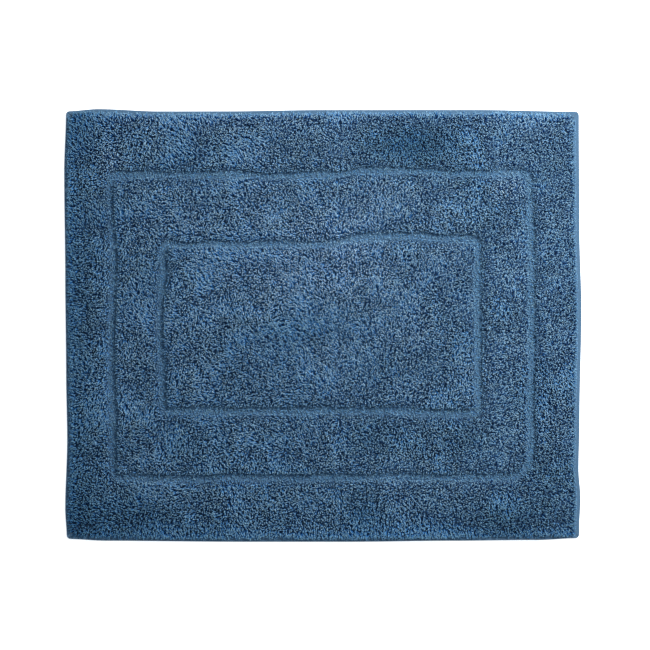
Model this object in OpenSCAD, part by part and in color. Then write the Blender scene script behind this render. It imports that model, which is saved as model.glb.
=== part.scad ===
// Tufted cotton bath mat: a centre panel and two borders of cut pile with bare channels between them,
// on a woven cloth with bound edges and a non-slip latex coat underneath.
// Millimetres. X runs along the long side, Y towards the back and Z up.
// The origin is the middle of the underside, on the floor.

/* [Mat] */
// Length of the mat along X, over the bindings
mat_w = 600; // [420:1:900]
// Width of the mat along Y, over the bindings
mat_d = 504; // [400:1:700]
// Radius of the mat's four corners in plan
mat_corner_r = 5; // [2:0.5:6]

/* [Pile] */
// Height of the cut pile above the backing cloth
pile_h = 10; // [6:0.5:20]
// Radius of the pile's upper edges, where it falls away into a channel
pile_edge_r = 3; // [1:0.5:5]
// Radius of the pile areas' corners in plan
pile_corner_r = 6; // [2:0.5:12]
// Width of the bare channels between the pile areas
channel_w = 9; // [5:0.5:14]
// Width of the outer border's pile on the left and right sides
outer_side_w = 45; // [25:0.5:70]
// Width of the outer border's pile at the front and back
outer_front_w = 63.5; // [30:0.5:90]
// Width of the middle border's pile on the left and right sides
middle_side_w = 51; // [25:0.5:70]
// Width of the middle border's pile at the front and back
middle_front_w = 69; // [30:0.5:90]

/* [Backing cloth] */
// Thickness of the woven backing cloth
cloth_t = 0.8; // [0.5:0.1:1.5]

/* [Back stitches] */
// Distance between neighbouring rows of tufting
row_pitch = 4.8; // [4:0.1:8]
// Width of one row of tufting yarn under the cloth
row_w = 2.6; // [1.5:0.1:3.5]
// Height of one row of tufting yarn under the cloth
row_h = 0.7; // [0.4:0.05:0.9]
// Distance that a row stops short of the pile area's ends
row_end_gap = 2; // [1:0.5:6]

/* [Latex coat] */
// Thickness of the latex coat, from the floor up to the cloth
latex_t = 1.2; // [1:0.1:3]
// Bare cloth between the latex coat and the binding
latex_margin = 1; // [0.5:0.1:3]
// Radius of the latex coat's corners in plan
latex_corner_r = 4; // [1:0.5:10]

/* [Binding] */
// Width of the binding strip on each face of the mat
binding_leg = 7; // [5:0.5:12]
// Thickness of the binding strip
binding_t = 0.6; // [0.3:0.05:0.8]

/* [Binding stitches] */
// Distance of the seam from the mat's edge
seam_inset = 4.5; // [2:0.5:4.5]
// Distance from one stitch to the next
stitch_pitch = 5; // [4:0.1:8]
// Length of thread that shows in one stitch
stitch_len = 3.6; // [2:0.1:3.8]
// Diameter of the sewing thread
thread_d = 0.7; // [0.4:0.05:0.9]
// Distance from the mat's corner to the seam's first stitch
seam_end_gap = 8; // [6:0.5:20]

/* [Hidden] */
$fn = 48;

SIDES = ["front", "right", "back", "left"];

pile_colour = [0.33, 0.45, 0.57];
cloth_colour = [0.30, 0.41, 0.53];
binding_colour = [0.38, 0.50, 0.62];
thread_colour = [0.45, 0.57, 0.68];
latex_colour = [0.87, 0.86, 0.81];

cloth_z = latex_t;
pile_z = latex_t + cloth_t;

// A pile area is [inset from the mat's left and right edges, inset from its front and back edges]
outer_inset = [binding_leg, binding_leg];
middle_inset = outer_inset + [outer_side_w + channel_w, outer_front_w + channel_w];
centre_inset = middle_inset + [middle_side_w + channel_w, middle_front_w + channel_w];

// A border is [its inset, its widths at the sides and at the front]
outer_border = [outer_inset, [outer_side_w, outer_front_w]];
middle_border = [middle_inset, [middle_side_w, middle_front_w]];
centre_size = [mat_w, mat_d] - 2 * centre_inset;

// A side's index counts quarter turns from the front, so the even ones run along X
function along_x(side) = side % 2 == 0;
function side_length(side) = along_x(side) ? mat_w : mat_d;
function side_reach(side) = (along_x(side) ? mat_d : mat_w) / 2;
function strip_inset(border, side) = border[0][along_x(side) ? 1 : 0];
function strip_length(border, side) = side_length(side) - 2 * border[0][along_x(side) ? 0 : 1];
function strip_w(border, side) = border[1][along_x(side) ? 1 : 0];
function strip_taper(border, side) = border[1][along_x(side) ? 0 : 1];

// How many things fit at one pitch in a width, and where the first one sits
function fit_count(width, pitch) = floor(width / pitch) + 1;
function fit_start(width, pitch) = (width - (fit_count(width, pitch) - 1) * pitch) / 2;

// Turns a strip drawn along X, with its outer edge on Y = 0 and its body towards +Y, to its side of the mat
module to_side(side, inset) {
    rotate(90 * side)
        translate([0, inset - side_reach(side), 0])
            children();
}

// Draws a bar along X from a profile in Y and Z
module bar_x(length) {
    rotate([90, 0, 90])
        linear_extrude(length, center = true)
            children();
}

module rounded_rect(size, r) {
    square([size.x - 2 * r, size.y], center = true);
    square([size.x, size.y - 2 * r], center = true);
    for (x = [-1, 1], y = [-1, 1])
        translate([x * (size.x / 2 - r), y * (size.y / 2 - r)])
            circle(r);
}

// A strip with mitred ends: its outer edge lies on Y = 0 and each end slopes in by the taper
module mitred_strip(length, taper, width) {
    polygon([
        [-length / 2, 0],
        [length / 2, 0],
        [length / 2 - taper, width],
        [-length / 2 + taper, width]
    ]);
}

// Pile seen from its end, with both upper edges rounded
module pile_profile(width) {
    square([width, pile_h - pile_edge_r]);
    translate([pile_edge_r, 0])
        square([width - 2 * pile_edge_r, pile_h]);
    for (x = [pile_edge_r, width - pile_edge_r])
        translate([x, pile_h - pile_edge_r])
            circle(pile_edge_r);
}

module border_pile(border, side) {
    length = strip_length(border, side);
    width = strip_w(border, side);
    across = 2 * (side_reach(side) - strip_inset(border, side));
    to_side(side, strip_inset(border, side))
        translate([0, 0, pile_z])
            intersection() {
                bar_x(length)
                    pile_profile(width);
                linear_extrude(pile_h)
                    mitred_strip(length, strip_taper(border, side), width);
                linear_extrude(pile_h)
                    translate([0, across / 2])
                        rounded_rect([length, across], pile_corner_r);
            }
}

// One row of yarn under the cloth: flat against the cloth and round below
module row_profile() {
    row_r = (pow(row_w / 2, 2) + pow(row_h, 2)) / (2 * row_h);
    intersection() {
        translate([0, row_r - row_h])
            circle(row_r);
        translate([-row_w / 2, -row_h])
            square([row_w, row_h]);
    }
}

// The rows of a strip, each as long as the strip is at its place
module tufting_rows(length, taper, width) {
    free_w = width - row_w;
    for (k = [0 : fit_count(free_w, row_pitch) - 1]) {
        y = row_w / 2 + fit_start(free_w, row_pitch) + k * row_pitch;
        translate([0, y, cloth_z])
            bar_x(length - 2 * taper * y / width - 2 * row_end_gap)
                row_profile();
    }
}

module border_rows(border, side) {
    to_side(side, strip_inset(border, side))
        tufting_rows(strip_length(border, side), strip_taper(border, side), strip_w(border, side));
}

module centre_rows() {
    translate([0, -centre_size.y / 2, 0])
        tufting_rows(centre_size.x, 0, centre_size.y);
}

module backing_cloth() {
    color(cloth_colour)
        translate([0, 0, cloth_z])
            linear_extrude(cloth_t)
                rounded_rect([mat_w - 2 * binding_t, mat_d - 2 * binding_t], mat_corner_r - binding_t);
}

// The coat flows round every row of yarn and is flat on the floor
module latex_backing() {
    inset = binding_leg + latex_margin;
    color(latex_colour)
        difference() {
            linear_extrude(latex_t)
                rounded_rect([mat_w - 2 * inset, mat_d - 2 * inset], latex_corner_r);
            for (side = [0 : 3]) {
                border_rows(outer_border, side);
                border_rows(middle_border, side);
            }
            centre_rows();
        }
}

module centre_pile() {
    color(pile_colour)
        translate([0, 0, pile_z])
            intersection() {
                bar_x(centre_size.x)
                    translate([-centre_size.y / 2, 0])
                        pile_profile(centre_size.y);
                rotate(90)
                    bar_x(centre_size.y)
                        translate([-centre_size.x / 2, 0])
                            pile_profile(centre_size.x);
                linear_extrude(pile_h)
                    rounded_rect(centre_size, pile_corner_r);
            }
}

module centre_backstitch() {
    color(pile_colour)
        centre_rows();
}

module outer_pile(side) {
    color(pile_colour)
        border_pile(outer_border, side);
}

module outer_backstitch(side) {
    color(pile_colour)
        border_rows(outer_border, side);
}

module middle_pile(side) {
    color(pile_colour)
        border_pile(middle_border, side);
}

module middle_backstitch(side) {
    color(pile_colour)
        border_rows(middle_border, side);
}

// One side's share of a band that runs round the mat's edge, with 45 degree mitres
module edge_band(side, width, inner_r) {
    outline = [side_length(side), 2 * side_reach(side)];
    intersection() {
        mitred_strip(side_length(side), binding_leg, binding_leg);
        translate([0, side_reach(side)])
            difference() {
                rounded_rect(outline, mat_corner_r);
                if (inner_r > 0)
                    rounded_rect(outline - [2 * width, 2 * width], inner_r);
                else
                    square(outline - [2 * width, 2 * width], center = true);
            }
    }
}

// A strip folded over the cloth's edge: a leg on each face and the fold between them
module binding(side) {
    color(binding_colour)
        to_side(side, 0) {
            for (z = [cloth_z - binding_t, pile_z])
                translate([0, 0, z])
                    linear_extrude(binding_t)
                        edge_band(side, binding_leg, 0);
            translate([0, 0, cloth_z - binding_t])
                linear_extrude(cloth_t + 2 * binding_t)
                    edge_band(side, binding_t, mat_corner_r - binding_t);
        }
}

// Half of the round thread stands proud of the binding
module thread_profile() {
    intersection() {
        circle(thread_d / 2);
        translate([-thread_d / 2, 0])
            square([thread_d, thread_d / 2]);
    }
}

// A lockstitch seam: the needle thread shows on top and the bobbin thread underneath
module binding_stitching(side) {
    seam_l = side_length(side) - 2 * seam_end_gap - stitch_len;
    color(thread_colour)
        to_side(side, seam_inset)
            for (k = [0 : fit_count(seam_l, stitch_pitch) - 1]) {
                x = k * stitch_pitch + fit_start(seam_l, stitch_pitch) - seam_l / 2;
                translate([x, 0, pile_z + binding_t])
                    bar_x(stitch_len)
                        thread_profile();
                translate([x, 0, cloth_z - binding_t])
                    mirror([0, 0, 1])
                        bar_x(stitch_len)
                            thread_profile();
            }
}

backing_cloth();
latex_backing();
centre_pile();
centre_backstitch();
for (i = [0 : 3]) {
    outer_pile(i);
    outer_backstitch(i);
    middle_pile(i);
    middle_backstitch(i);
    binding(i);
    binding_stitching(i);
}
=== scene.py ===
import math
import bpy
import numpy as np
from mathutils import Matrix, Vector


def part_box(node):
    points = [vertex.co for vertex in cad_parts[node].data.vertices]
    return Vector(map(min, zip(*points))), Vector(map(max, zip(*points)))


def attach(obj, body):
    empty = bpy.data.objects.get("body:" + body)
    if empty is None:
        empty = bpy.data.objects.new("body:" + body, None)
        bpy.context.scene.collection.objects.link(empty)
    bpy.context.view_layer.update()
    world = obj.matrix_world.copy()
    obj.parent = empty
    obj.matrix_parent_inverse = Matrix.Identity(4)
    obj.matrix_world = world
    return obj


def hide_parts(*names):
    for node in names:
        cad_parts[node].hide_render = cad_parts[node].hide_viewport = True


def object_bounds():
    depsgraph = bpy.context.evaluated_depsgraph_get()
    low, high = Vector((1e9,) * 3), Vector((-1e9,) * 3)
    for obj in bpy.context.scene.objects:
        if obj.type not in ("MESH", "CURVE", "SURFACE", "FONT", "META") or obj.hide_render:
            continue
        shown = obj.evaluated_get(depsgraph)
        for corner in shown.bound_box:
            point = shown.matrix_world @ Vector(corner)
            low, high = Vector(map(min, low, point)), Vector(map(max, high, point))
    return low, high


# Tufted cotton bath mat. Lengths are in millimetres, and meshes are scaled to metres when they are made.
# Materials, the room, the light and the camera are in metres.
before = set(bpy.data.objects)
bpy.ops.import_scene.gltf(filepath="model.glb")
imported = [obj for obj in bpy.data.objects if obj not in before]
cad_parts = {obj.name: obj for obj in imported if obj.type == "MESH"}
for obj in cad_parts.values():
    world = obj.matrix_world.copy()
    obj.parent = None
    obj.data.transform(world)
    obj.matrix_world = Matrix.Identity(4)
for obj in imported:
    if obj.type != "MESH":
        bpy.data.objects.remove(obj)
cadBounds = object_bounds()
perMetre = 1000.0
sides = ("front", "right", "back", "left")  # quarter turns, counted from the front


def nodeBox(node):
    low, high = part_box(node)
    return np.array(low) * perMetre, np.array(high) * perMetre


# ---- sizes that come from the frame
clothLow, clothHigh = nodeBox("backing_cloth")
outerRight = nodeBox("outer_pile_right")
middleFront, middleRight = nodeBox("middle_pile_front"), nodeBox("middle_pile_right")
centreHigh = nodeBox("centre_pile")[1]
bindingLow, bindingHigh = nodeBox("binding_front")
latexLow, latexHigh = nodeBox("latex_backing")

matHalf = np.array([cadBounds[1].x, cadBounds[1].y]) * perMetre
clothTop, clothUnder = clothHigh[2], clothLow[2]
bindingLeg = bindingHigh[1] - bindingLow[1]
bindingThick = bindingHigh[2] - clothTop
pileTop = centreHigh[2]
channelWidth = outerRight[0][0] - middleRight[1][0]
outerPileHalf = matHalf - bindingLeg
outerChannelHalf = np.array([middleRight[1][0], -middleFront[0][1]]) + channelWidth / 2
innerChannelHalf = centreHigh[:2] + channelWidth / 2

# ---- how far the real edges and the hand-guided channels stray from straight lines
# Each line across the mat has a few (place along it, shift) points.
wander = {
    "shiftX": {
        -matHalf[0]: [(-250, 2.0), (-215, 0.3), (-133, 2.6), (-60, 1.4), (60, 0.3), (180, -0.9), (250, 1.2)],
        -outerChannelHalf[0]: [(-177, 2.9), (-104, 0.6), (-23, -0.5), (76, 1.8), (174, -1.7)],
        -innerChannelHalf[0]: [(-98, -0.3), (-11, -3.7), (35, -3.6), (93, 0.9)],
        innerChannelHalf[0]: [(-99, -1.6), (0, -2.4), (99, -2.6)],
        outerChannelHalf[0]: [(-104, 0.0), (-23, 0.6), (76, 0.0), (160, -1.4)],
        matHalf[0]: [
            (-240, -0.6), (-203, 0.8), (-168, -1.4), (-110, -0.3), (20, 1.9), (110, -0.3), (250, -1.0),
        ],
    },
    "shiftY": {
        -matHalf[1]: [(-297, 2.6), (-255, 0.6), (-90, -0.6), (30, -0.6), (150, 0.6), (250, 1.5), (297, 3.6)],
        -outerChannelHalf[1]: [(-230, 0.4), (-165, -1.3), (-101, 1.0), (-20, 0.2), (230, 0.4)],
        -innerChannelHalf[1]: [(-180, -0.3), (100, -0.6), (165, -2.8)],
        innerChannelHalf[1]: [(-180, -4.2), (9, -4.3), (55, 2.7), (92, 6.0), (148, 3.8), (178, 0.5)],
        outerChannelHalf[1]: [(-243, -1.7), (8, -1.7), (61, 2.9), (95, 3.5), (148, 0.2), (243, 0.0)],
        matHalf[1]: [
            (-297, -2.6), (-260, -0.2), (-190, -2.9), (-110, -2.8), (0, -1.3), (180, -1.2), (297, -3.2),
        ],
    },
}


def ease(t):
    return t * t * (3 - 2 * t)


def throughPoints(points, at):
    # a smooth curve through a few points, level at each of them
    xs, ys = np.array(points, float).T
    at = np.clip(at, xs[0], xs[-1])
    k = np.clip(np.searchsorted(xs, at, side="right") - 1, 0, len(xs) - 2)
    t = ease((at - xs[k]) / (xs[k + 1] - xs[k]))
    return ys[k] * (1 - t) + ys[k + 1] * t


def shiftAt(lines, across, along):
    places = np.array(sorted(lines), float)
    shifts = np.stack([throughPoints(lines[p], along) for p in sorted(lines)])
    across = np.clip(across, places[0], places[-1])
    k = np.clip(np.searchsorted(places, across, side="right") - 1, 0, len(places) - 2)
    t = (across - places[k]) / (places[k + 1] - places[k])
    column = np.arange(len(across))
    return shifts[k, column] * (1 - t) + shifts[k + 1, column] * t


def wandered(points):
    # moves points (n, 2 or 3) from the straight mat to the real one
    out = points.copy()
    out[:, 0] += shiftAt(wander["shiftX"], points[:, 0], points[:, 1])
    out[:, 1] += shiftAt(wander["shiftY"], points[:, 1], points[:, 0])
    return out


noiseSpan = 900  # wider than the mat, so that no place is off the lattice
noiseSwing = 1.4


def noiseField(seed, cell):
    # smooth noise over the mat, mostly between -1 and 1, whose bumps are about one cell wide
    count = int(noiseSpan / cell) + 4
    lattice = np.random.default_rng(seed).uniform(-1, 1, (count, count)) * noiseSwing

    def sample(x, y):
        u, v = np.asarray(x) / cell + count / 2, np.asarray(y) / cell + count / 2
        i = np.clip(np.floor(u).astype(int), 0, count - 2)
        j = np.clip(np.floor(v).astype(int), 0, count - 2)
        s, t = ease(np.clip(u - i, 0, 1)), ease(np.clip(v - j, 0, 1))
        low = lattice[i, j] * (1 - s) + lattice[i + 1, j] * s
        high = lattice[i, j + 1] * (1 - s) + lattice[i + 1, j + 1] * s
        return low * (1 - t) + high * t

    return sample


def turned(points, side):
    # a strip drawn along X, with its outer edge low in Y, turned to its side of the mat
    c, s = [(1, 0), (0, 1), (-1, 0), (0, -1)][side]
    out = points.copy()
    out[:, 0] = c * points[:, 0] - s * points[:, 1]
    out[:, 1] = s * points[:, 0] + c * points[:, 1]
    return out


def sideHalf(half, side):
    # (half of the side's length, how far the side is from the middle)
    return (half[0], half[1]) if side % 2 == 0 else (half[1], half[0])


# ---- mesh making
def makePiece(name, points, faces, material, nodes, uvs=None, values=None):
    # faces is a list of index arrays of one width each; uvs maps a layer's name to one array per face array
    mesh = bpy.data.meshes.new(name)
    corners = np.concatenate([f.ravel() for f in faces])
    sizes = np.concatenate([np.full(len(f), f.shape[1]) for f in faces])
    starts = np.concatenate([[0], np.cumsum(sizes)[:-1]])
    mesh.vertices.add(len(points))
    mesh.vertices.foreach_set("co", (points / perMetre).astype(np.float32).ravel())
    mesh.loops.add(len(corners))
    mesh.loops.foreach_set("vertex_index", corners.astype(np.int32))
    mesh.polygons.add(len(sizes))
    mesh.polygons.foreach_set("loop_start", starts.astype(np.int32))
    mesh.update(calc_edges=True)
    mesh.polygons.foreach_set("use_smooth", np.ones(len(sizes), bool))
    for layer, parts in (uvs or {}).items():
        uv = mesh.uv_layers.new(name=layer)
        flat = np.concatenate([p.reshape(-1, 2) for p in parts])
        uv.data.foreach_set("uv", flat.astype(np.float32).ravel())
    for key, array in (values or {}).items():
        attribute = mesh.attributes.new(key, "FLOAT", "POINT")
        attribute.data.foreach_set("value", array.astype(np.float32))
    mesh.materials.append(material)
    mesh.update()
    piece = bpy.data.objects.new(name, mesh)
    bpy.context.scene.collection.objects.link(piece)
    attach(piece, "root")
    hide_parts(*nodes)
    return piece


def ringFaces(rings, around):
    # quads between neighbouring rings of one tube
    k = np.arange(around)
    nextK = (k + 1) % around
    base = (np.arange(rings - 1) * around)[:, None]
    quad = np.stack([base + k, base + nextK, base + around + nextK, base + around + k], axis=-1)
    return quad.reshape(-1, 4)


def tubeUv(around, v):
    # each quad's corners: round the tube in U, along it in V
    k = np.arange(around)
    u0, u1 = k / around, (k + 1) / around
    uv = np.zeros((len(v) - 1, around, 4, 2))
    uv[..., 0, 0] = uv[..., 3, 0] = u0
    uv[..., 1, 0] = uv[..., 2, 0] = u1
    uv[..., 0, 1] = uv[..., 1, 1] = v[:-1, None]
    uv[..., 2, 1] = uv[..., 3, 1] = v[1:, None]
    return uv.reshape(-1, 4, 2)


# ---- material helpers
def addNode(tree, kind, **values):
    node = tree.nodes.new(kind)
    for key, value in values.items():
        if hasattr(node, key):
            setattr(node, key, value)
        else:
            node.inputs[key].default_value = value
    return node


def blankMaterial(name):
    material = bpy.data.materials.new(name)
    material.use_nodes = True
    tree = material.node_tree
    tree.nodes.clear()
    shader = addNode(tree, "ShaderNodeBsdfPrincipled")
    output = addNode(tree, "ShaderNodeOutputMaterial")
    tree.links.new(shader.outputs["BSDF"], output.inputs["Surface"])
    return material, tree, shader


def newGroup(name, inputs, outputs):
    group = bpy.data.node_groups.new(name, "ShaderNodeTree")
    for label, kind, value in inputs:
        socket = group.interface.new_socket(label, in_out="INPUT", socket_type=kind)
        socket.default_value = value
    for label, kind in outputs:
        group.interface.new_socket(label, in_out="OUTPUT", socket_type=kind)
    return group, group.nodes.new("NodeGroupInput"), group.nodes.new("NodeGroupOutput")


def placeGroup(tree, group, **values):
    node = tree.nodes.new("ShaderNodeGroup")
    node.node_tree = group
    for key, value in values.items():
        node.inputs[key].default_value = value
    return node


def mathNode(tree, operation, a, b=None, clamp=False):
    node = addNode(tree, "ShaderNodeMath", operation=operation, use_clamp=clamp)
    for i, value in enumerate((a, b)):
        if value is None:
            continue
        if isinstance(value, (int, float)):
            node.inputs[i].default_value = value
        else:
            tree.links.new(value, node.inputs[i])
    return node.outputs[0]


def scaleAdd(tree, value, gain, offset):
    node = addNode(tree, "ShaderNodeMath", operation="MULTIPLY_ADD")
    tree.links.new(value, node.inputs[0])
    node.inputs[1].default_value = gain
    node.inputs[2].default_value = offset
    return node.outputs[0]


def colourMix(tree, factor, a, b, blendType="MIX"):
    node = tree.nodes.new("ShaderNodeMix")
    node.data_type, node.blend_type = "RGBA", blendType
    for socket, value in ((node.inputs[0], factor), (node.inputs[6], a), (node.inputs[7], b)):
        if isinstance(value, bpy.types.NodeSocket):
            tree.links.new(value, socket)
        elif isinstance(value, tuple):
            socket.default_value = (*value, 1.0)
        else:
            socket.default_value = value
    return node.outputs[2]


def patchesGroup():
    # broad soft patches, where the dye took a little differently and the pile has been walked on
    group, start, end = newGroup(
        "Dye patches",
        [("Patch size", "NodeSocketFloat", 0.06), ("Mottle size", "NodeSocketFloat", 0.006)],
        [("Patches", "NodeSocketFloat"), ("Mottle", "NodeSocketFloat")],
    )
    place = addNode(group, "ShaderNodeTexCoord").outputs["Object"]
    for size, output, detail in (("Patch size", "Patches", 2.0), ("Mottle size", "Mottle", 3.0)):
        noise = addNode(group, "ShaderNodeTexNoise", Detail=detail)
        group.links.new(place, noise.inputs["Vector"])
        group.links.new(mathNode(group, "DIVIDE", 1.0, start.outputs[size]), noise.inputs["Scale"])
        group.links.new(noise.outputs["Fac"], end.inputs[output])
    return group


def twistGroup():
    # the plies of a twisted yarn, from a UV layer that runs round and along it
    group, start, end = newGroup(
        "Yarn twist",
        [
            ("Plies", "NodeSocketFloat", 2.0),
            ("Turns", "NodeSocketFloat", 3.0),
            ("Fuzz", "NodeSocketFloat", 0.3),
        ],
        [("Height", "NodeSocketFloat"), ("Groove", "NodeSocketFloat")],
    )
    uv = addNode(group, "ShaderNodeUVMap", uv_map="yarnRun")
    split = addNode(group, "ShaderNodeSeparateXYZ")
    group.links.new(uv.outputs["UV"], split.inputs[0])
    roundIt = mathNode(group, "MULTIPLY", split.outputs["X"], start.outputs["Plies"])
    alongIt = mathNode(group, "MULTIPLY", split.outputs["Y"], start.outputs["Turns"])
    phase = mathNode(group, "MULTIPLY", mathNode(group, "ADD", roundIt, alongIt), 2 * math.pi)
    wave = scaleAdd(group, mathNode(group, "SINE", phase), 0.5, 0.5)
    noise = addNode(group, "ShaderNodeTexNoise", Scale=2600.0, Detail=2.0)
    place = addNode(group, "ShaderNodeTexCoord").outputs["Object"]
    group.links.new(place, noise.inputs["Vector"])
    fuzz = mathNode(group, "MULTIPLY", noise.outputs["Fac"], start.outputs["Fuzz"])
    group.links.new(mathNode(group, "ADD", wave, fuzz), end.inputs["Height"])
    group.links.new(wave, end.inputs["Groove"])
    return group


def weaveGroup():
    # plain weave: one thread over and one under, in object space
    group, start, end = newGroup(
        "Plain weave",
        [("Thread pitch", "NodeSocketFloat", 0.0009), ("Slub", "NodeSocketFloat", 0.35)],
        [("Height", "NodeSocketFloat"), ("Gaps", "NodeSocketFloat")],
    )
    place = addNode(group, "ShaderNodeTexCoord").outputs["Object"]
    split = addNode(group, "ShaderNodeSeparateXYZ")
    group.links.new(place, split.inputs[0])
    waves = []
    for axis in ("X", "Y"):
        turns = mathNode(group, "DIVIDE", split.outputs[axis], start.outputs["Thread pitch"])
        waves.append(mathNode(group, "SINE", mathNode(group, "MULTIPLY", turns, math.pi)))
    crossing = mathNode(group, "MULTIPLY", waves[0], waves[1])
    noise = addNode(group, "ShaderNodeTexNoise", Scale=420.0, Detail=3.0)
    group.links.new(place, noise.inputs["Vector"])
    slub = mathNode(group, "MULTIPLY", noise.outputs["Fac"], start.outputs["Slub"])
    raised = mathNode(group, "ABSOLUTE", crossing)
    group.links.new(mathNode(group, "ADD", raised, slub), end.inputs["Height"])
    group.links.new(raised, end.inputs["Gaps"])
    return group


patches = patchesGroup()
twist = twistGroup()
weave = weaveGroup()

# ---- cut pile yarn
pileYarn = {
    "rootShadeColour": (0.001, 0.150, 0.520),
    "deepTuft": (0.027, 0.195, 0.410),
    "paleTuft": (0.345, 0.550, 0.590),
    "cutEnd": (0.470, 0.620, 0.610),
    "deepening": (1.5, 1.0, 0.8),
    "frayAndHighlight": 0.42,
    "grooveShadeColour": (0.001, 0.090, 0.290),
    "grooveShadeDepth": 0.6,
    "roughness": 0.9,
    "mottled": 0.1,  # how much the roughness varies
    "sheen": 0.05,
    "sheenRoughness": 0.5,
    "sheenTint": (0.6, 0.8, 1.0),
    "specular": 0.06,
    "plies": 2.0,
    "turns": 3.0,
    "fuzz": 0.35,
    "rootFade": 1.8,  # higher keeps the painted root shade further up the yarn
    "cutFade": 6.0,
    "patchSize": 0.07,
    "mottleSize": 0.012,
    "patchy": 0.4,  # how much the broad patches darken and lighten
    "bump": 0.6,
    "bumpDepth": 0.0004,
}


def yarnMaterial(name, look):
    material, tree, shader = blankMaterial(name)
    patch = placeGroup(tree, patches, **{"Patch size": look["patchSize"], "Mottle size": look["mottleSize"]})
    ply = placeGroup(tree, twist, Plies=look["plies"], Turns=look["turns"], Fuzz=look["fuzz"])
    along = addNode(tree, "ShaderNodeAttribute", attribute_name="alongYarn").outputs["Fac"]
    tone = addNode(tree, "ShaderNodeAttribute", attribute_name="tuftTone").outputs["Fac"]
    tipColour = colourMix(tree, tone, look["deepTuft"], look["paleTuft"])
    # painted shade: the yarn goes darker and deeper in colour towards its root, down in the pile where shade
    # falls
    body = colourMix(tree, mathNode(tree, "POWER", along, look["rootFade"]), look["rootShadeColour"], tipColour)
    # the cut ends are painted paler: a painted highlight where the yarns' tops catch the light, and partly
    # the paleness of their frayed fibres
    cut = mathNode(tree, "MULTIPLY", mathNode(tree, "POWER", along, look["cutFade"]), look["frayAndHighlight"])
    body = colourMix(tree, cut, body, look["cutEnd"])
    # painted shade: the grooves between the plies are painted darker and deeper in colour
    grooveShadeMask = scaleAdd(tree, ply.outputs["Groove"], -look["grooveShadeDepth"], look["grooveShadeDepth"])
    grooveShaded = colourMix(tree, grooveShadeMask, body, look["grooveShadeColour"])
    shade = scaleAdd(tree, patch.outputs["Patches"], look["patchy"], 1 - look["patchy"] / 2)
    # paintedShadeAndTone holds the painted shade and light of the spots and the pile's edges, times each
    # yarn's random tone
    paintedShadeAndTone = addNode(tree, "ShaderNodeAttribute", attribute_name="paintedShadeAndTone").outputs["Fac"]
    strength = mathNode(tree, "MULTIPLY", shade, paintedShadeAndTone)
    # the painted shade, the dye patches and the random tone go deeper in colour as they go darker, as shade
    # does
    deeper = addNode(tree, "ShaderNodeCombineColor")
    for channel, power in zip(deeper.inputs[:3], look["deepening"]):
        tree.links.new(mathNode(tree, "POWER", strength, power), channel)
    final = colourMix(tree, 1.0, grooveShaded, deeper.outputs["Color"], "MULTIPLY")
    tree.links.new(final, shader.inputs["Base Color"])
    rough = scaleAdd(tree, patch.outputs["Mottle"], look["mottled"], look["roughness"] - look["mottled"] / 2)
    tree.links.new(rough, shader.inputs["Roughness"])
    bump = addNode(tree, "ShaderNodeBump", Strength=look["bump"], Distance=look["bumpDepth"])
    tree.links.new(ply.outputs["Height"], bump.inputs["Height"])
    tree.links.new(bump.outputs["Normal"], shader.inputs["Normal"])
    shader.inputs["Sheen Weight"].default_value = look["sheen"]
    shader.inputs["Sheen Roughness"].default_value = look["sheenRoughness"]
    shader.inputs["Sheen Tint"].default_value = (*look["sheenTint"], 1.0)
    shader.inputs["Specular IOR Level"].default_value = look["specular"]
    return material


# ---- woven cloths
canvasLook = {
    "light": (0.060, 0.126, 0.202),
    "weaveHollowShade": (0.024, 0.064, 0.120),
    "pitch": 0.0010,
    "slub": 0.35,
    "worn": 0.35,  # how far the gaps fill in
    "roughness": 0.92,
    "patchy": 0.08,
    "bump": 0.7,
    "bumpDepth": 0.0003,
    "sheen": 0.2,
    "specular": 0.25,
}
tapeLook = dict(
    canvasLook,
    light=(0.074, 0.148, 0.228),
    weaveHollowShade=(0.026, 0.068, 0.126),
    pitch=0.0007,
    roughness=0.88,
)


def clothMaterial(name, look):
    material, tree, shader = blankMaterial(name)
    patch = placeGroup(tree, patches, **{"Patch size": 0.05, "Mottle size": 0.004})
    threads = placeGroup(tree, weave, **{"Thread pitch": look["pitch"], "Slub": look["slub"]})
    # painted shade: the weave's hollows take the darker colour and its raised threads the lighter one
    body = colourMix(tree, threads.outputs["Gaps"], look["weaveHollowShade"], look["light"])
    worn = mathNode(tree, "MULTIPLY", patch.outputs["Mottle"], look["worn"])
    tree.links.new(colourMix(tree, worn, body, look["light"]), shader.inputs["Base Color"])
    rough = scaleAdd(tree, patch.outputs["Patches"], look["patchy"], look["roughness"] - look["patchy"] / 2)
    tree.links.new(rough, shader.inputs["Roughness"])
    bump = addNode(tree, "ShaderNodeBump", Strength=look["bump"], Distance=look["bumpDepth"])
    tree.links.new(threads.outputs["Height"], bump.inputs["Height"])
    tree.links.new(bump.outputs["Normal"], shader.inputs["Normal"])
    shader.inputs["Sheen Weight"].default_value = look["sheen"]
    shader.inputs["Specular IOR Level"].default_value = look["specular"]
    return material


# ---- latex coat
latexLook = {
    "milky": (0.70, 0.68, 0.60),
    "thin": (0.45, 0.50, 0.52),
    "thinning": 0.8,  # how thin the coat looks between its thick patches
    "roughness": 0.62,
    "mottled": 0.2,
    "bump": 0.5,
    "bumpDepth": 0.0004,
}


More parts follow.
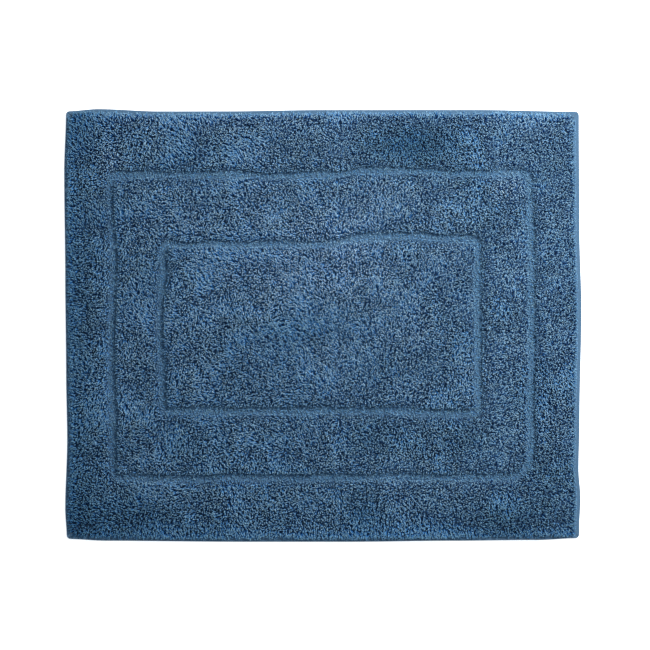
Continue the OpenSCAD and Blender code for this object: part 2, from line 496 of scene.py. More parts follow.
def latexMaterial():
    material, tree, shader = blankMaterial("Latex coat")
    patch = placeGroup(tree, patches, **{"Patch size": 0.03, "Mottle size": 0.002})
    thin = mathNode(tree, "MULTIPLY", patch.outputs["Patches"], latexLook["thinning"])
    tree.links.new(colourMix(tree, thin, latexLook["milky"], latexLook["thin"]), shader.inputs["Base Color"])
    base = latexLook["roughness"] - latexLook["mottled"] / 2
    rough = scaleAdd(tree, patch.outputs["Mottle"], latexLook["mottled"], base)
    tree.links.new(rough, shader.inputs["Roughness"])
    bump = addNode(tree, "ShaderNodeBump", Strength=latexLook["bump"], Distance=latexLook["bumpDepth"])
    tree.links.new(patch.outputs["Mottle"], bump.inputs["Height"])
    tree.links.new(bump.outputs["Normal"], shader.inputs["Normal"])
    return material


tuftMaterial = yarnMaterial("Cut pile yarn", pileYarn)
backYarn = dict(
    pileYarn,
    frayAndHighlight=0.0,
    rootShadeColour=(0.16, 0.27, 0.36),
    deepTuft=(0.22, 0.32, 0.42),
    paleTuft=(0.40, 0.47, 0.52),
    grooveShadeDepth=0.5,
)
backMaterial = yarnMaterial("Back stitch yarn", backYarn)
threadLook = dict(
    pileYarn,
    frayAndHighlight=0.0,
    rootShadeColour=(0.12, 0.23, 0.36),
    deepTuft=(0.14, 0.26, 0.40),
    paleTuft=(0.22, 0.35, 0.49),
    roughness=0.7,
    plies=3.0,
    turns=2.0,
)
threadMaterial = yarnMaterial("Sewing thread", threadLook)
canvasMaterial = clothMaterial("Backing canvas", canvasLook)
tapeMaterial = clothMaterial("Binding tape", tapeLook)
coatMaterial = latexMaterial()
print("materials made")

# ---- pile
tufting = {
    "rowPitch": 4.8,  # between rows of tufting
    "stitch": 3.9,  # along a row, from one tuft to the next
    "legGap": 1.95,  # between the two cut legs of one tuft
    "plyGap": 1.6,  # between the three plies that each leg opens into
    "jitter": 0.55,
    "yarnRadius": 0.48,
    "yarnLength": 10.5,
    "leanAtRoot": 6,  # degrees from upright
    "leanAtTip": 46,
    "curl": 55,  # degrees a yarn turns aside along its length
    "plainCorner": 7,  # radius of a channel's corner
    "cutCorner": 27,  # the outer channel's front right corner, which was cut round
    "rimCorner": 2.5,
    "scallop": 1.0,  # how much a channel's edges wave
    "lobe": 2.7,
    "ragged": 0.5,
    "overChannel": 0.9,  # how far yarn ends may hang over a channel
    "overBinding": 8.6,  # and over the bound edges
    "overRight": 5.0,  # the right edge's binding stays bare
    "rimRows": 4.0,
    "rimSpread": 1.2,
    "edgeGap": 0.3,  # bare cloth that every yarn keeps from its area's edge
    "overlap": 9,  # rows drawn past a border's inner edge, then cut back to the channel
    "yarnsInPiece": 5400,
    "foldAt": 22,  # the crease left by folding the mat in half
    "foldWidth": 5.0,
    "shoulder": 0.3,  # how much shorter the pile is at an edge
    "paintedEdgeShade": 0.2,  # how much darker the pile is painted at an edge: painted shade that holds down the highlight the open edge catches
    "shadeSpread": 0.2,
}
# what decides the way a yarn falls, and how much each counts
leaning = {
    "grain": 0.68,
    "swirl": 0.22,
    "fine": 0.24,
    "chance": 0.2,
    "rim": 1.8,
    "rimReach": 6.0,
    "bareRim": 0.5,  # less at the right edge, where the binding stays bare
    "channel": 0.4,
    "channelReach": 3.0,
    "calm": 0.75,  # how much of the rest is lost at an edge
    "calmReach": 2.5,
    "fold": 0.3,
    "aside": 0.35,
}
leanAngle = [(-300, 92), (-240, 100), (-150, 138), (-60, 128), (20, 105), (90, 92), (200, 66), (300, 80)]

# broad spots of painted shade and painted light on the pile, darker to the left, along the front and at the
# right rim, paler along the back rim:
# middle x and y, half width, half depth, amount
shadeSpots = [
    (-300, 0, 34, 400, -0.38),
    (-260, -252, 190, 36, -0.3),
    (270, -252, 150, 36, -0.3),
    (20, -256, 150, 26, -0.18),
    (110, 211, 42, 24, -0.78),
    (-245, 196, 16, 16, 0.28),
    (214, 160, 18, 18, 0.28),
    (297, 0, 8, 400, -0.32),
    (0, 95, 120, 75, 0.24),
    (-290, 235, 30, 26, -0.34),
    (-20, -8, 50, 20, -0.18),
    (75, -52, 40, 20, -0.14),
    (60, -135, 44, 20, -0.18),
    (220, -222, 30, 22, -0.26),
    (-215, -222, 60, 20, -0.22),
    (262, -177, 26, 30, -0.16),
    (-290, -200, 32, 60, -0.24),
    (0, 240, 420, 16, 0.13),
    (50, -215, 22, 24, -0.24),
    (172, -135, 28, 26, -0.2),
    (-162, -135, 28, 26, -0.18),
]

swirlX, swirlY = noiseField(11, 17), noiseField(12, 17)
fineX, fineY = noiseField(13, 8), noiseField(14, 8)
leanSign = noiseField(15, 38)
tallField = noiseField(16, 22)
scallopFields = {"outer": noiseField(17, 22), "middle": noiseField(19, 26), "centre": noiseField(20, 26)}
raggedField = noiseField(18, 5)


def roundedBox(x, y, half, radius):
    # signed distance to a rounded rectangle, negative inside
    qx, qy = np.abs(x) - half[0] + radius, np.abs(y) - half[1] + radius
    outside = np.hypot(np.maximum(qx, 0), np.maximum(qy, 0))
    return outside + np.minimum(np.maximum(qx, qy), 0) - radius


def roomIn(kind, x, y, waviness=1.0):
    # how far a place is inside its pile area: from the mat's rim, and from the nearest channel
    cut = np.where((x > 0) & (y < 0), tufting["cutCorner"], tufting["plainCorner"])
    # gentle waves in front, rounded lobes of pile that hang over the channels at the back
    gentle, towardsBack = scallopFields[kind](x, y), np.clip(y / 60, 0, 1)
    scallop = 0.7 * gentle * (1 - towardsBack) + (tufting["lobe"] * np.abs(gentle) - 0.9) * towardsBack
    wave = waviness * (tufting["scallop"] * scallop + tufting["ragged"] * raggedField(x, y))
    toOuter = roundedBox(x, y, outerChannelHalf, cut)
    toInner = roundedBox(x, y, innerChannelHalf, tufting["plainCorner"])
    half = channelWidth / 2
    rim = -roundedBox(x, y, outerPileHalf, tufting["rimCorner"])
    if kind == "outer":
        return rim, toOuter - half + wave
    if kind == "middle":
        return rim, np.minimum(-toOuter, toInner) - half + wave
    return rim, -toInner - half + wave


def outward(kind, which, x, y):
    # the room left and the way out of the area
    step = 0.6
    room = roomIn(kind, x, y)[which]
    outX = roomIn(kind, x - step, y)[which] - roomIn(kind, x + step, y)[which]
    outY = roomIn(kind, x, y - step)[which] - roomIn(kind, x, y + step)[which]
    size = np.maximum(np.hypot(outX, outY), 1e-6)
    return room, outX / size, outY / size


def onSide(x, y, innerHalf, outerHalf, side):
    # a border's corners are shared along the line from the inner corner to the outer one
    alongX = (np.abs(x) - innerHalf[0]) / (outerHalf[0] - innerHalf[0])
    alongY = (np.abs(y) - innerHalf[1]) / (outerHalf[1] - innerHalf[1])
    vertical = alongX > alongY
    return [~vertical & (y < 0), vertical & (x > 0), ~vertical & (y > 0), vertical & (x < 0)][side]


def tuftPlaces(halfOuter, depth, side, rng):
    # every ply of every tuft in the rows of one strip, before anything is left out
    halfLength, reach = sideHalf(halfOuter, side)
    rows = np.arange(tufting["yarnRadius"], depth, tufting["rowPitch"])
    steps = np.arange(-halfLength, halfLength, tufting["stitch"])
    row, step = np.meshgrid(np.arange(len(rows)), steps, indexing="ij")
    along = (step + (row % 2) * tufting["stitch"] / 2).ravel()
    across = rows[row.ravel()] - reach
    places = []
    for leg in (-0.5, 0.5):
        for ply in (-1, 0, 1):
            place = np.stack([along + leg * tufting["legGap"], across + ply * tufting["plyGap"]], axis=1)
            places.append(place + rng.normal(0, tufting["jitter"], place.shape))
    return turned(np.concatenate(places), side)


def pileArea(kind, side, rng):
    # the yarns of one CAD node, as places on the straight mat
    if kind == "outer":
        places = tuftPlaces(outerPileHalf, outerPileHalf[1] - innerChannelHalf[1], side, rng)
    elif kind == "middle":
        depth = outerChannelHalf[1] - innerChannelHalf[1] + tufting["overlap"]
        places = tuftPlaces(outerChannelHalf, depth, side, rng)
    else:
        places = tuftPlaces(innerChannelHalf, 2 * innerChannelHalf[1], 0, rng)
    if kind == "outer":
        # the rim is tufted closer, so that it hides the seam
        rim = roomIn(kind, *places.T)[0]
        extra = places[(rim > 0) & (rim < tufting["rimRows"])]
        places = np.concatenate([places, extra + rng.normal(0, tufting["rimSpread"], extra.shape)])
    x, y = places.T
    keep = np.minimum(*roomIn(kind, x, y)) > tufting["edgeGap"]
    if kind == "outer":
        keep &= onSide(x, y, outerChannelHalf, outerPileHalf, side)
    elif kind == "middle":
        keep &= onSide(x, y, innerChannelHalf, outerChannelHalf, side)
    return places[keep]


def fallOf(kind, places, rng):
    # the way each yarn falls: a grain that turns slowly across the mat, swirls, and the nearest edge
    x, y = places.T
    grain = np.radians(throughPoints(leanAngle, x))
    sign = np.tanh(1.5 * (leanSign(x, y) - 0.15)) * -1
    vx = leaning["grain"] * sign * np.cos(grain) + leaning["swirl"] * swirlX(x, y)
    vx = vx + leaning["fine"] * fineX(x, y) + rng.normal(0, leaning["chance"], len(x))
    vy = leaning["grain"] * sign * np.sin(grain) + leaning["swirl"] * swirlY(x, y)
    vy = vy + leaning["fine"] * fineY(x, y) + rng.normal(0, leaning["chance"], len(x))
    rim, rimX, rimY = outward(kind, 0, x, y)
    channel, channelX, channelY = outward(kind, 1, x, y)
    atRim = leaning["rim"] * np.exp(-np.maximum(rim, 0) / leaning["rimReach"])
    atChannel = leaning["channel"] * np.exp(-np.maximum(channel, 0) / leaning["channelReach"])
    bareRim = (x > outerPileHalf[0] - 12) & (rimX > 0.7)
    atRim = atRim * rng.uniform(0.4, 1.25, len(x)) * np.where(bareRim, leaning["bareRim"], 1.0)
    nearest = np.maximum(np.minimum(rim, channel), 0)
    calm = 1 - leaning["calm"] * np.exp(-nearest / leaning["calmReach"])
    vx = vx * calm + atRim * rimX + atChannel * channelX
    vy = vy * calm + atRim * rimY + atChannel * channelY
    fold = x - tufting["foldAt"]
    vx += leaning["fold"] * np.sign(fold) * np.exp(-np.abs(fold) / tufting["foldWidth"])
    direction = np.arctan2(vy, vx) + rng.normal(0, leaning["aside"], len(x))
    return direction, np.clip(np.hypot(vx, vy), 0.2, 1.6), np.minimum(rim, channel)


def combed(kind, spine, rng):
    # pushes back what would hang too far over an edge
    x, y = spine[..., 0].ravel(), spine[..., 1].ravel()
    for which in (0, 1):
        room, outX, outY = outward(kind, which, x, y)
        reach = (0.3 + rng.exponential(1.0, len(spine))) * tufting["overChannel"]
        limit = np.repeat(reach, spine.shape[1])
        if which == 0:
            limit = np.where((outX > 0.7) & (x > 0), tufting["overRight"], tufting["overBinding"])
        over = np.maximum(-room, 0)
        back = over - limit * np.tanh(over / limit)
        x, y = x - back * outX, y - back * outY
    spine[..., 0], spine[..., 1] = x.reshape(spine.shape[:2]), y.reshape(spine.shape[:2])
    return spine


def shadeAt(x, y):
    # painted shade and light from the spots, as a factor on the pile's colour
    total = np.zeros_like(x)
    for middleX, middleY, halfWidth, halfDepth, amount in shadeSpots:
        total += amount * np.exp(-(((x - middleX) / halfWidth) ** 2) - ((y - middleY) / halfDepth) ** 2)
    return np.exp(total)


tuftShape = {
    "around": 5,
    "stations": np.array([0.0, 0.4, 0.72, 1.0]),
    "girth": np.array([0.8, 1.0, 1.05, 0.85]),
    "lobe": 0.12,  # how far the fibres stand out of round
    "turns": 0.5,
    "tipLength": 0.6,  # the rounded cut end, in radii
    "rootDepth": 0.4,  # how far the root goes down into the cloth
    "curlSpread": 0.6,
    "tubeShare": 1 / 1.08,  # of the bake cell's height; the cut end has the rest
    "cellMargin": 0.08,
}


def growTufts(name, kind, places, nodes, seed):
    rng = np.random.default_rng(seed)
    count = len(places)
    direction, strength, room = fallOf(kind, places, rng)
    shoulder = 1 - tufting["shoulder"] * np.exp(-room / 3.0)
    # painted shade near the rim and the channels
    paintedEdgeShade = 1 - tufting["paintedEdgeShade"] * np.exp(-room / 2.5)
    darkest, palest = 1 - tufting["shadeSpread"], 1 + tufting["shadeSpread"]
    uneven = 0.03 * tallField(*places.T) + np.clip(rng.normal(0, 0.05, count), -0.12, 0.08)
    startLean = tufting["leanAtRoot"] * rng.uniform(0.3, 1.6, count) * np.maximum(strength, 0.8) ** 3
    endLean = np.minimum(tufting["leanAtTip"] * strength * rng.uniform(0.75, 1.25, count), 88)
    yarns = {
        "length": tufting["yarnLength"] * shoulder * (1 + uneven),
        "radius": tufting["yarnRadius"] * rng.uniform(0.84, 1.18, count),
        "startLean": np.radians(startLean),
        "endLean": np.radians(endLean),
        "direction": direction,
        "paler": 0.0,
        "shade": paintedEdgeShade * shadeAt(*places.T) * rng.uniform(darkest, palest, count),
    }
    return yarnPiece(name, kind, places, yarns, nodes, rng)


def yarnPiece(name, kind, places, yarns, nodes, rng):
    count = len(places)
    length, radius, direction = yarns["length"], yarns["radius"], yarns["direction"]
    startLean, endLean = yarns["startLean"], yarns["endLean"]
    curl = np.radians(tufting["curl"]) * rng.normal(0, tuftShape["curlSpread"], count)
    t = tuftShape["stations"]
    # walk along each yarn, leaning further all the way
    spine = np.zeros((count, len(t), 3))
    spine[:, 0, :2] = places
    spine[:, 0, 2] = clothTop - tuftShape["rootDepth"]
    for k in range(1, len(t)):
        mid = (t[k] + t[k - 1]) / 2
        lean = startLean + (endLean - startLean) * mid
        turn = direction + curl * mid
        stepLength = length * (t[k] - t[k - 1])
        spine[:, k, 0] = spine[:, k - 1, 0] + np.sin(lean) * np.cos(turn) * stepLength
        spine[:, k, 1] = spine[:, k - 1, 1] + np.sin(lean) * np.sin(turn) * stepLength
        spine[:, k, 2] = spine[:, k - 1, 2] + np.cos(lean) * stepLength
    if kind:
        spine = combed(kind, spine, rng)
    tangent = np.gradient(spine, axis=1)
    tangent /= np.linalg.norm(tangent, axis=2, keepdims=True)
    across = np.stack([-np.sin(direction), np.cos(direction), np.zeros(count)], axis=-1)[:, None]
    across = np.broadcast_to(across, tangent.shape)
    normal = np.cross(tangent, across)
    normal /= np.maximum(np.linalg.norm(normal, axis=2, keepdims=True), 1e-6)
    around = tuftShape["around"]
    angle = 2 * np.pi * np.arange(around) / around
    start = rng.uniform(0, 2 * np.pi, count)
    spin = start[:, None, None] + 2 * np.pi * tuftShape["turns"] * t[None, :, None] + angle
    lobes = 1 + tuftShape["lobe"] * np.cos(2 * angle)
    lobed = radius[:, None, None] * tuftShape["girth"][None, :, None] * lobes
    rings = spine[:, :, None, :] + (lobed * np.cos(spin))[..., None] * across[:, :, None, :]
    rings += (lobed * np.sin(spin))[..., None] * normal[:, :, None, :]
    tip = spine[:, -1] + tangent[:, -1] * (radius * tuftShape["tipLength"])[:, None]
    perTuft = len(t) * around + 1
    vertices = np.concatenate([rings.reshape(count, -1, 3), tip[:, None]], axis=1).reshape(-1, 3)
    offset = (np.arange(count) * perTuft)[:, None, None]
    quads = (ringFaces(len(t), around)[None] + offset).reshape(-1, 4)
    last = (len(t) - 1) * around
    k = np.arange(around)
    cap = np.stack([last + k, last + (k + 1) % around, np.full(around, perTuft - 1)], axis=-1)
    caps = (cap[None] + offset).reshape(-1, 3)
    # one cell of the bake map for each yarn
    columns = int(math.ceil(math.sqrt(count)))
    cell = np.stack([np.arange(count) % columns, np.arange(count) // columns], axis=-1).astype(float)
    u0, u1 = k / around, (k + 1) / around
    v = t * tuftShape["tubeShare"]
    quadUv, capV = tubeUv(around, v), np.full(around, v[-1])
    capUv = np.stack([
        np.stack([u0, capV], -1),
        np.stack([u1, capV], -1),
        np.stack([(u0 + u1) / 2, np.ones(around)], -1),
    ], axis=1)
    margin = tuftShape["cellMargin"]
    filled = 1 - 2 * margin
    bake = [(cell[:, None, None] + margin + filled * part) / columns for part in (quadUv, capUv)]
    run = [np.broadcast_to(part, (count, *part.shape)) for part in (quadUv, capUv)]
    alongYarn = np.append(np.repeat(t, around), 1.0) * (1 - yarns["paler"]) + yarns["paler"]
    values = {
        "alongYarn": np.tile(alongYarn, count),
        "tuftTone": np.repeat(rng.beta(1.3, 1.9, count), perTuft),
        "paintedShadeAndTone": np.repeat(yarns["shade"], perTuft),
    }
    return makePiece(name, wandered(vertices), [quads, caps], tuftMaterial, nodes,
                     {"OFBake": bake, "yarnRun": run}, values)


pilePieces = []


def growInParts(label, kind, places, seed):
    # one node's pile in pieces along its longer way, so that no piece is too heavy
    longer = int(np.ptp(places[:, 1]) > np.ptp(places[:, 0]))
    parts = int(math.ceil(len(places) / tufting["yarnsInPiece"]))
    inOrder = places[np.argsort(places[:, longer], kind="stable")]
    for index, part in enumerate(np.array_split(inOrder, parts)):
        pilePieces.append(growTufts(f"{label}_tufts_{index + 1}", kind, part, [label], seed + 50 * index))


for kindIndex, kind in enumerate(("outer", "middle")):
    for side, sideName in enumerate(sides):
        places = pileArea(kind, side, np.random.default_rng(100 + 10 * kindIndex + side))
        growInParts(f"{kind}_pile_{sideName}", kind, places, 200 + 10 * kindIndex + side)
growInParts("centre_pile", "centre", pileArea("centre", 0, np.random.default_rng(120)), 220)

# short sheared stubble and lint along the bottoms of the channels
stubble = {
    "pitch": 1.9,
    "length": 4.2,
    "radius": 0.38,
    "leanAtRoot": 30,
    "leanAtTip": 84,
    # paler lifts where the colour starts along each fibre, so less of the painted root shade shows
    "paler": 0.65,
    "shade": 0.8,
    "apart": 30,  # further than this from the inner channel it is the outer channel's
    "past": 6,  # how far past the outer channel's middle places are tried
}


def stubbleIn(seed):
    rng = np.random.default_rng(seed)
    farX, farY = outerChannelHalf + stubble["past"]
    xs, ys = np.arange(-farX, farX, stubble["pitch"]), np.arange(-farY, farY, stubble["pitch"])
    places = np.stack([a.ravel() for a in np.meshgrid(xs, ys)], axis=1)
    places += rng.normal(0, stubble["pitch"] * 0.35, places.shape)
    rooms = [np.minimum(*roomIn(kind, *places.T)) for kind in ("outer", "middle", "centre")]
    places = places[np.maximum.reduce(rooms) < 0.2]
    inOuter = roundedBox(*places.T, innerChannelHalf, tufting["plainCorner"]) > stubble["apart"]
    return [stubblePiece("outer_channel_stubble", places[inOuter], rng),
            stubblePiece("inner_channel_stubble", places[~inOuter], rng)]


def stubblePiece(name, places, rng):
    count = len(places)
    yarns = {
        "length": stubble["length"] * rng.uniform(0.6, 1.3, count),
        "radius": stubble["radius"] * rng.uniform(0.8, 1.2, count),
        "startLean": np.radians(stubble["leanAtRoot"] * rng.uniform(0.4, 1.5, count)),
        "endLean": np.radians(stubble["leanAtTip"] * rng.uniform(0.7, 1.1, count)),
        "direction": rng.uniform(0, 2 * np.pi, count),
        "paler": stubble["paler"],
        "shade": stubble["shade"] * shadeAt(*places.T) * rng.uniform(0.8, 1.2, count),
    }
    return yarnPiece(name, None, places, yarns, ["backing_cloth"], rng)


pilePieces += stubbleIn(260)
pointsPerYarn = len(tuftShape["stations"]) * tuftShape["around"] + 1
heaviest = max(len(p.data.loops) - 2 * len(p.data.polygons) for p in pilePieces)
print("yarn ends grown:", sum(len(p.data.vertices) for p in pilePieces) // pointsPerYarn)
print("triangles in the heaviest piece:", heaviest)


# ---- backing cloth and latex: closed sheets on a grid
def gridSheet(half, radius, low, high, pitch, relief=None):
    # a slab with rounded corners whose two faces are fine grids
    columns, rows = int(2 * half[0] / pitch) + 1, int(2 * half[1] / pitch) + 1
    xs, ys = np.linspace(-half[0], half[0], columns), np.linspace(-half[1], half[1], rows)
    x, y = (a.ravel() for a in np.meshgrid(xs, ys, indexing="ij"))
    # corners pulled in to their radius
    cx, cy = np.maximum(np.abs(x) - half[0] + radius, 0), np.maximum(np.abs(y) - half[1] + radius, 0)
    far = np.hypot(cx, cy)
    square = np.maximum(cx, cy)
    squeeze = np.where(far > 0, square / np.maximum(far, 1e-6), 1)
    x = np.where(cx > 0, np.sign(x) * (half[0] - radius + cx * squeeze), x)
    y = np.where(cy > 0, np.sign(y) * (half[1] - radius + cy * squeeze), y)
    zLow, zHigh = np.full(len(x), low), np.full(len(x), high)
    if relief is not None:
        zLow = zLow + relief(x, y)
    points = np.concatenate([np.stack([x, y, zLow], 1), np.stack([x, y, zHigh], 1)])
    index = np.arange(columns * rows).reshape(columns, rows)
    a, b = index[:-1, :-1].ravel(), index[1:, :-1].ravel()
    c, d = index[1:, 1:].ravel(), index[:-1, 1:].ravel()
    top = np.stack([a, b, c, d], 1) + columns * rows
    under = np.stack([d, c, b, a], 1)
    loop = np.concatenate([index[:, 0], index[-1, 1:], index[-2::-1, -1], index[0, -2:0:-1]])
    following = np.roll(loop, -1)
    wall = np.stack([loop, following, following + columns * rows, loop + columns * rows], 1)
    return wandered(points), [top, under, wall]


clothSheet = {"pitch": 6.0, "corner": 4.4}
clothHalf = clothHigh[:2]
points, faces = gridSheet(clothHalf, clothSheet["corner"], clothUnder, clothTop, clothSheet["pitch"])
cloth = makePiece("backing_cloth_weave", points, faces, canvasMaterial, ["backing_cloth"])

coatSheet = {"pitch": 4.0, "corner": 4.0, "dimple": 0.1, "gap": 0.25}
coatRelief = noiseField(31, 7)
points, faces = gridSheet(latexHigh[:2], coatSheet["corner"], latexLow[2] + coatSheet["gap"], clothUnder,
                          coatSheet["pitch"], lambda x, y: coatSheet["dimple"] * (coatRelief(x, y) + 1))
coat = makePiece("latex_coat", points, faces, coatMaterial, ["latex_backing"])
print("cloth and latex made")

# ---- back stitches, which show as rows of short dashes through the coat
backStitch = {
    "length": 3.7,
    "halfWidth": 1.15,
    "halfHeight": 0.58,
    "around": 6,
    "stations": np.array([-1.0, -0.72, 0.0, 0.72, 1.0]),
    "girth": np.array([0.45, 0.9, 1.0, 0.9, 0.45]),
    "inset": 1.6,  # bare cloth that a stitch keeps from its area's edge
    "stray": 0.12,
    "slant": 0.16,
    "dip": 0.28,  # how far the ends go up into the cloth
}


def layBackStitches(name, kind, side, seed):
    rng = np.random.default_rng(seed)
    if kind == "outer":
        strip = (outerPileHalf, outerPileHalf[1] - innerChannelHalf[1])
    elif kind == "middle":
        strip = (outerChannelHalf, outerChannelHalf[1] - innerChannelHalf[1] + tufting["overlap"])
    else:
        strip = (innerChannelHalf, 2 * innerChannelHalf[1])
    halfLength, reach = sideHalf(strip[0], side)
    rows = np.arange(tufting["rowPitch"] / 2, strip[1], tufting["rowPitch"])
    steps = np.arange(-halfLength, halfLength, tufting["stitch"])
    row, step = np.meshgrid(rows, steps, indexing="ij")
    middles = np.stack([step.ravel(), row.ravel() - reach], axis=1)
    x, y = turned(middles, side).T
    keep = np.minimum(*roomIn(kind, x, y, 0.0)) > backStitch["inset"]
    if kind == "outer":
        keep &= onSide(x, y, outerChannelHalf, outerPileHalf, side)
    elif kind == "middle":
        keep &= onSide(x, y, innerChannelHalf, outerChannelHalf, side)
    middles = middles[keep] + rng.normal(0, backStitch["stray"], (keep.sum(), 2))
    count = len(middles)
    t, girth, around = backStitch["stations"], backStitch["girth"], backStitch["around"]
    angle = 2 * np.pi * np.arange(around) / around
    slant = rng.normal(0, backStitch["slant"], count)[:, None]
    alongIt = middles[:, :1] + t * backStitch["length"] / 2
    acrossIt = middles[:, 1:] + slant * t
    height = clothUnder - backStitch["halfHeight"] + backStitch["dip"] * np.abs(t) ** 2
    ringY = acrossIt[..., None] + (backStitch["halfWidth"] * girth)[:, None] * np.cos(angle)
    ringZ = height[:, None] + (backStitch["halfHeight"] * girth)[:, None] * np.sin(angle)
    ringZ = np.broadcast_to(ringZ, ringY.shape)
    ringX = np.broadcast_to(alongIt[..., None], ringY.shape)
    points = np.stack([ringX, ringY, ringZ], axis=-1).reshape(-1, 3)
    return finishTubes(name, wandered(turned(points, side)), count, t, around, backMaterial,
                       [name.replace("_yarn", "")], rng)


def finishTubes(name, points, count, t, around, material, nodes, rng):
    # faces and maps for many short closed tubes of one kind
    perTube = len(t) * around
    offset = (np.arange(count) * perTube)[:, None, None]
    quads = (ringFaces(len(t), around)[None] + offset).reshape(-1, 4)
    ends = np.stack([np.arange(around)[::-1], np.arange(around) + perTube - around])
    caps = (ends[None] + offset).reshape(-1, around)
    v = (t - t[0]) / (t[-1] - t[0])
    quadUv = tubeUv(around, v)
    capAngle = 2 * np.pi * np.arange(around) / around
    capU = 0.5 + 0.5 * np.cos(capAngle)
    capUv = np.stack([np.stack([capU, np.full(around, v[e])], -1) for e in (0, -1)])
    run = [np.broadcast_to(part, (count, *part.shape)) for part in (quadUv, capUv)]
    values = {
        # the ends of each stitch take more of the dark root colour: painted shade where they go into the
        # cloth
        "alongYarn": np.tile(np.repeat(0.6 + 0.4 * (1 - np.abs(2 * v - 1)), around), count),
        "tuftTone": np.repeat(rng.uniform(0, 1, count), perTube),
        "paintedShadeAndTone": np.ones(count * perTube),
    }
    return makePiece(name, points, [quads, caps], material, nodes, {"yarnRun": run}, values)


for kindIndex, kind in enumerate(("outer", "middle")):
    for side, sideName in enumerate(sides):
        label = f"{kind}_backstitch_{sideName}"
        layBackStitches(f"{label}_yarn", kind, side, 400 + 10 * kindIndex + side)
layBackStitches("centre_backstitch_yarn", "centre", 0, 420)


# ---- binding strips
binding = {
    "step": 2.5,  # between stations along the strip
    "pucker": 0.16,
    "puckerReach": 1.6,
    "ripple": 0.1,  # unevenness of the folded edge
    "rippleSize": 9,
    "cornerRadius": 5.0,
    "seamInset": 4.5,
    "stitchPitch": 5.0,
}


def bindingProfile():
    # (distance in from the mat's edge, height), round the folded strip
    top, under = clothTop + bindingThick, clothUnder - bindingThick
    r = (top - under) / 2
    mid = (top + under) / 2
    outer = [(bindingLeg * share, top) for share in (1.0, 0.8, 0.5, 0.3)]
    outer += [(r - r * math.sin(a), mid + r * math.cos(a)) for a in np.linspace(0, math.pi, 9)]
    outer += [(bindingLeg * share, under) for share in (0.5, 0.8, 1.0)]
    inner = [(bindingLeg, clothUnder), (bindingLeg * 0.5, clothUnder), (bindingThick, clothUnder)]
    inner += [(bindingThick, clothTop), (bindingLeg * 0.5, clothTop), (bindingLeg, clothTop)]
    return np.array(outer + inner)


def puckerAt(along, inset):
    # the seam pulls the strip down at each stitch
    beat = np.cos(2 * np.pi * along / binding["stitchPitch"])
    near = np.exp(-((inset - binding["seamInset"]) / binding["puckerReach"]) ** 2)
    return binding["pucker"] * (0.5 - 0.5 * beat) * near


def sewBinding(side):
    name = f"binding_{sides[side]}"
    halfLength, reach = sideHalf(matHalf, side)
    profile = bindingProfile()
    stations = np.linspace(-halfLength, halfLength, int(2 * halfLength / binding["step"]) + 1)
    s, k = np.meshgrid(stations, np.arange(len(profile)), indexing="ij")
    inset, height = profile[k.ravel()].T
    along = s.ravel() * (halfLength - inset) / halfLength
    ripple = noiseField(40 + side, binding["rippleSize"])
    lift = puckerAt(along, inset) * np.where(height > clothTop, -1, 0)
    lift = lift + binding["ripple"] * ripple(along, inset * 4) * (inset < 3)
    # the strip's outer corners are rounded
    points = np.stack([along, inset - reach, height + lift], axis=1)
    points[:, :2] = roundCorner(points[:, :2], halfLength, reach, binding["cornerRadius"])
    points = wandered(turned(points, side))
    around = len(profile)
    quads = ringFaces(len(stations), around)[:, ::-1]
    lastRing = (len(stations) - 1) * around
    ends = [np.arange(around)[None], (np.arange(around)[::-1] + lastRing)[None]]
    piece = makePiece(f"{name}_tape", points, [quads, *ends], tapeMaterial, [name])
    # the strip's flat width, along the middle of its thickness
    fold = (clothTop - clothUnder) / 2 + bindingThick
    width = 2 * (bindingLeg - fold) + math.pi * (fold - bindingThick / 2)
    return piece, (width / perMetre, 2 * halfLength / perMetre)


def roundCorner(points, halfLength, reach, radius):
    x, y = points.T
    qx, qy = np.abs(x) - halfLength + radius, np.abs(y) - reach + radius
    far = np.hypot(np.maximum(qx, 0), np.maximum(qy, 0))
    over = np.maximum(far - radius, 0)
    inCorner = (qx > 0) & (qy > 0)
    scale = np.where(inCorner & (over > 0), radius / np.maximum(far, 1e-6), 1)
    nx = np.where(inCorner, np.sign(x) * (halfLength - radius + qx * scale), x)
    ny = np.where(inCorner, np.sign(y) * (reach - radius + qy * scale), y)
    return np.stack([nx, ny], axis=1)


# ---- seam stitches
seam = {
    "length": 3.9,
    "radius": 0.34,
    "around": 8,
    "stations": np.linspace(-1, 1, 7),
    "endGap": 8.0,
    "slant": 0.07,
    "stray": 0.12,
    "rise": 0.42,  # from a stitch's ends to its middle
    "sink": 0.34,  # of its ends, into the strip
}


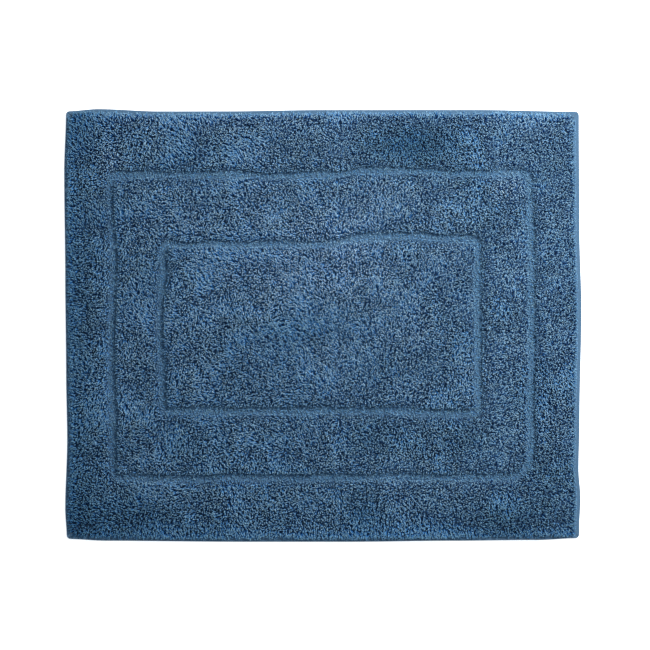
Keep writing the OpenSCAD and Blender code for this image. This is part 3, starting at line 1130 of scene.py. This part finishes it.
def sewSeam(side):
    name = f"binding_stitching_{sides[side]}"
    halfLength, reach = sideHalf(matHalf, side)
    count = int((2 * halfLength - 2 * seam["endGap"]) / binding["stitchPitch"])
    centres = (np.arange(count) - (count - 1) / 2) * binding["stitchPitch"]
    rng = np.random.default_rng(60 + side)
    t, around = seam["stations"], seam["around"]
    angle = 2 * np.pi * np.arange(around) / around
    arch = 1 - np.abs(t) ** 3
    tubes = []
    for face in (1, -1):
        surface = clothTop + bindingThick if face > 0 else clothUnder - bindingThick
        slant = rng.normal(0, seam["slant"], count)
        spineX = centres[:, None] + t * seam["length"] / 2
        spineY = binding["seamInset"] - reach + slant[:, None] * t * seam["length"] / 2
        spineY = spineY + rng.normal(0, seam["stray"], count)[:, None]
        spineZ = np.broadcast_to(surface + face * (arch * seam["rise"] - seam["sink"]), spineX.shape)
        ringY = spineY[..., None] + seam["radius"] * np.cos(angle)
        ringZ = spineZ[..., None] + seam["radius"] * np.sin(angle)
        ringX = np.broadcast_to(spineX[..., None], ringY.shape)
        tubes.append(np.stack([ringX, ringY, ringZ], axis=-1).reshape(count, -1, 3))
    points = np.concatenate(tubes)
    tubeCount = len(points)
    points = wandered(turned(points.reshape(-1, 3), side))
    return finishTubes(f"{name}_thread", points, tubeCount, t, around, threadMaterial,
                       [name], rng)


for side in range(4):
    tape, flat = sewBinding(side)
    sewSeam(side)
print("edges bound")

# ---- room, light and camera
studio = {
    "floor": (0.90, 0.90, 0.90),
    "floorReach": 8.0,
    "floorDrop": 0.0002,
    "floorRoughness": 0.9,
    "floorSpecular": 0.1,
    "floorGlow": 0.65,  # a light table, so the floor stays white beside the mat
    "skyStrength": 0.50,
    "skyColour": (0.80, 0.96, 1.12),
    "keyPlace": (0.64, 0.60, 1.12),
    "keySize": 0.4,
    "keyPower": 37.0,
    "lens": 100.0,
    "frameWidth": 0.7536,  # what the camera sees across, at the mat
    "cameraAt": (0.003, 0.0),
}

floorMesh = bpy.data.meshes.new("studio_floor")
floorCorners = [(x * studio["floorReach"], y * studio["floorReach"], -studio["floorDrop"])
                for x, y in ((-1, -1), (1, -1), (1, 1), (-1, 1))]
floorMesh.from_pydata(floorCorners, [], [(0, 1, 2, 3)])
floor = bpy.data.objects.new("studio_floor", floorMesh)
bpy.context.scene.collection.objects.link(floor)
floorMaterial, floorTree, floorShader = blankMaterial("Studio floor")
floorShader.inputs["Base Color"].default_value = (*studio["floor"], 1.0)
floorShader.inputs["Roughness"].default_value = studio["floorRoughness"]
floorShader.inputs["Specular IOR Level"].default_value = studio["floorSpecular"]
floorShader.inputs["Emission Color"].default_value = (1.0, 1.0, 1.0, 1.0)
floorShader.inputs["Emission Strength"].default_value = studio["floorGlow"]
# seen through from below, so that the mat's underside can be looked at
seeThrough, blend = addNode(floorTree, "ShaderNodeBsdfTransparent"), addNode(floorTree, "ShaderNodeMixShader")
facing = addNode(floorTree, "ShaderNodeNewGeometry")
floorTree.links.new(facing.outputs["Backfacing"], blend.inputs[0])
floorTree.links.new(floorShader.outputs["BSDF"], blend.inputs[1])
floorTree.links.new(seeThrough.outputs["BSDF"], blend.inputs[2])
floorOutput = next(node for node in floorTree.nodes if node.type == "OUTPUT_MATERIAL")
floorTree.links.new(blend.outputs[0], floorOutput.inputs["Surface"])
floorMesh.materials.append(floorMaterial)

world = bpy.data.worlds.new("Studio")
world.use_nodes = True
world.node_tree.nodes["Background"].inputs["Color"].default_value = (*studio["skyColour"], 1.0)
world.node_tree.nodes["Background"].inputs["Strength"].default_value = studio["skyStrength"]
bpy.context.scene.world = world

keyData = bpy.data.lights.new("Key", "AREA")
keyData.size = studio["keySize"]
keyData.energy = studio["keyPower"]
key = bpy.data.objects.new("Key", keyData)
key.location = studio["keyPlace"]
bpy.context.scene.collection.objects.link(key)
aim = -np.array(studio["keyPlace"])
keyTilt = math.atan2(math.hypot(aim[0], aim[1]), -aim[2])
key.rotation_euler = (keyTilt, 0, math.atan2(aim[1], aim[0]) - math.pi / 2)

cameraData = bpy.data.cameras.new("Camera")
cameraData.sensor_width = 36.0
cameraData.lens = studio["lens"]
camera = bpy.data.objects.new("Camera", cameraData)
height = studio["frameWidth"] * studio["lens"] / cameraData.sensor_width
camera.location = (*studio["cameraAt"], height + pileTop / perMetre)
bpy.context.scene.collection.objects.link(camera)
bpy.context.scene.camera = camera
bpy.context.scene.view_settings.view_transform = "Standard"
